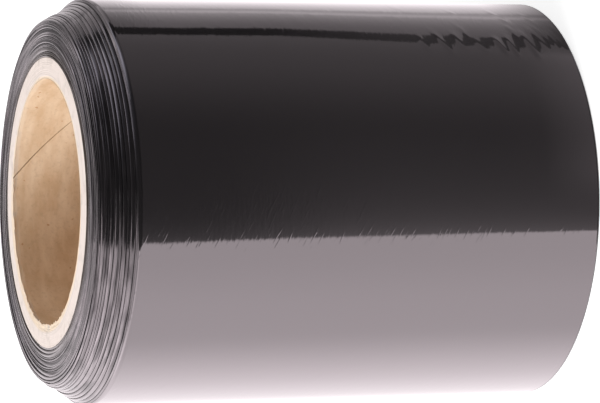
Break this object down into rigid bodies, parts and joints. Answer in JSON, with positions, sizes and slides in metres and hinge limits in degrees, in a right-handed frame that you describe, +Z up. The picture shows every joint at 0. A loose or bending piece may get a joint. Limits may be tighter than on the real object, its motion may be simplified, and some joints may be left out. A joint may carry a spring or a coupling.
{
  "type": "stretch wrap roll",
  "caption": "Short roll of glossy black stretch film wound on an open paper core, with stepped turns at both ends; it stands on one end and unwinds from a spindle through the core.",
  "frame": {"origin": "on the roll's axis, at the level of the foot ring that the roll stands on", "axes": "+Z up along the roll's axis, from the foot to the end whose core stands level with the inner turns; +Y is away from the picture's camera"},
  "size_m": [0.082, 0.082, 0.1035],
  "materials": {
    "core_paperboard": "matte kraft liner, paler cut ends",
    "black_film": "glossy, tightly wound film"
  },
  "bodies": {
    "root": {"cardboard_core": "core_paperboard", "wound_film": "black_film"}
  },
  "joints": []
}
